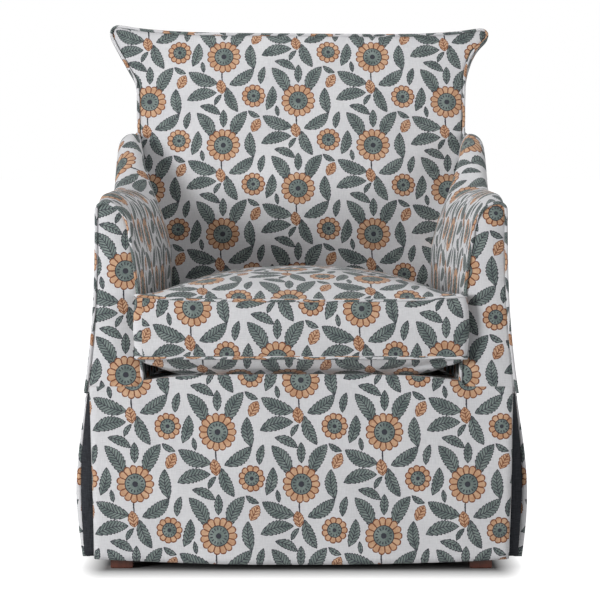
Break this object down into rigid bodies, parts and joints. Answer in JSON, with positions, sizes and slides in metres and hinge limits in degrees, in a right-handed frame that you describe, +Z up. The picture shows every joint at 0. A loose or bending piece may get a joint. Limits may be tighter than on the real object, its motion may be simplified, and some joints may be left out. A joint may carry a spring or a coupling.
{
  "type": "accent chair",
  "caption": "Upholstered accent chair with a skirted base, sloped arms that rise into low wings, an eared back and a loose boxed seat cushion.",
  "frame": {"origin": "on the floor, under the middle of the bounding box", "axes": "+Z up, -Y towards the front of the chair, +X to the right as seen from the front"},
  "size_m": [0.77, 0.85, 0.965],
  "materials": {
    "print_cloth": "woven linen-look cloth with a floral print",
    "pleat_cloth": "woven cloth",
    "filling": "foam wrapped in fibre",
    "lining": "thin black nonwoven cloth",
    "webbing": "jute webbing",
    "zip_tape": "woven tape",
    "zip_metal": "satin enamel",
    "frame_wood": "planed hardwood",
    "foot_wood": "dark brown stain, satin",
    "steel": "plain"
  },
  "bodies": {
    "chair": {"arm_facing_left": "print_cloth", "arm_facing_right": "print_cloth", "arm_pad_left": "print_cloth", "arm_pad_right": "print_cloth", "arm_post_left": "frame_wood", "arm_post_right": "frame_wood", "arm_rail_left": "frame_wood", "arm_rail_right": "frame_wood", "arm_stretcher_left": "frame_wood", "arm_stretcher_right": "frame_wood", "arm_welt_left": "print_cloth", "arm_welt_right": "print_cloth", "back_lower_rail": "frame_wood", "back_pad": "print_cloth", "back_post_left": "frame_wood", "back_post_right": "frame_wood", "back_top_rail": "frame_wood", "back_webbing": "webbing", "corner_blocks": "frame_wood", "corner_screws": "steel", "dust_cover": "lining", "ear_block_left": "frame_wood", "ear_block_right": "frame_wood", "foot_bolts": "steel", "foot_front_left": "foot_wood", "foot_front_right": "foot_wood", "foot_rear_left": "foot_wood", "foot_rear_right": "foot_wood", "frame_dowels": "frame_wood", "outside_arm_left": "print_cloth", "outside_arm_right": "print_cloth", "outside_back": "print_cloth", "pleat_liner_front_left": "pleat_cloth", "pleat_liner_front_right": "pleat_cloth", "pleat_liner_rear_left": "pleat_cloth", "pleat_liner_rear_right": "pleat_cloth", "seat_deck": "print_cloth", "seat_rail_back": "frame_wood", "seat_rail_front": "frame_wood", "seat_rail_left": "frame_wood", "seat_rail_right": "frame_wood", "seat_springs": "steel", "skirt_front": "print_cloth", "skirt_rear": "print_cloth", "skirt_side_left": "print_cloth", "skirt_side_right": "print_cloth", "spring_clips": "steel"},
    "seat_cushion": {"seat_cushion_bottom_panel": "print_cloth", "seat_cushion_boxing": "print_cloth", "seat_cushion_top_panel": "print_cloth", "seat_cushion_core": "filling", "seat_cushion_top_welt": "print_cloth", "seat_cushion_bottom_welt": "print_cloth", "zipper_tape": "zip_tape"},
    "zipper_slider": {"zipper_slider": "zip_metal"}
  },
  "joints": [
    {"name": "seat_cushion_lift", "type": "slide", "parent": "chair", "child": "seat_cushion", "axis": [0, 0, 1], "range_m": [0, 0.32]},
    {"name": "zipper_slide", "type": "slide", "parent": "seat_cushion", "child": "zipper_slider", "axis": [1, 0, 0], "range_m": [0, 0.38]}
  ]
}
